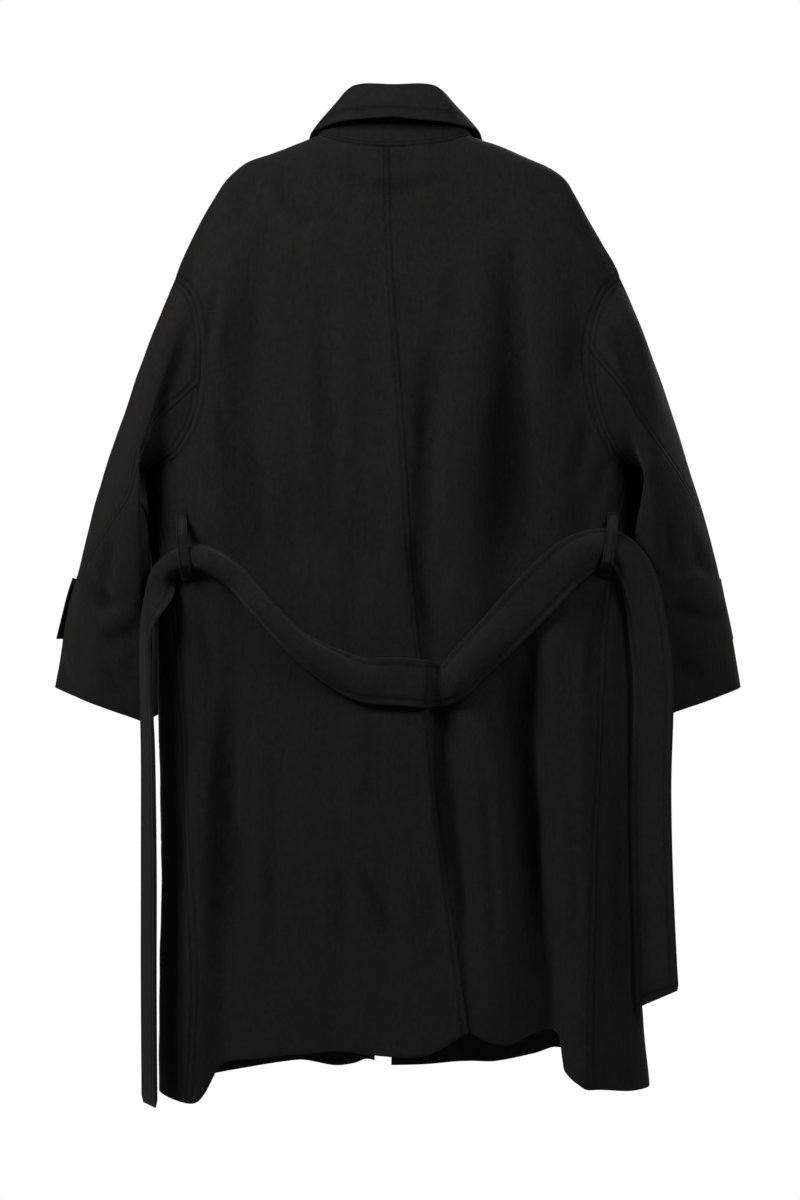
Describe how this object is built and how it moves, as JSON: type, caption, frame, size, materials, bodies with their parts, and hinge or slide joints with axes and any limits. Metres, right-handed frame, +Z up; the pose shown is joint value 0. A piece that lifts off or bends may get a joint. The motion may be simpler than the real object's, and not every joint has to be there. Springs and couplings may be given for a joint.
{
  "type": "overcoat",
  "caption": "Long oversized wool overcoat hanging filled out, with a turned-down collar, dropped shoulders, back vent, sleeve straps and a loose belt in side loops.",
  "frame": {"origin": "middle of the collar opening at shoulder height, where the coat is held", "axes": "+Z up, -Y out of the coat's back (the side in the picture), +Y out of its open front, +X the wearer's right"},
  "size_m": [0.8791, 0.2787, 1.2699],
  "materials": {
    "coating": "matt brushed wool coating, near black"
  },
  "bodies": {
    "root": {"back_left": "coating", "back_right": "coating", "front_left": "coating", "front_right": "coating", "sleeve_upper_left": "coating", "sleeve_upper_right": "coating", "sleeve_under_left": "coating", "sleeve_under_right": "coating", "collar_stand": "coating", "collar_fall": "coating", "sleeve_strap_left": "coating", "sleeve_strap_right": "coating", "belt": "coating", "belt_loop_left": "coating", "belt_loop_right": "coating"}
  },
  "joints": []
}
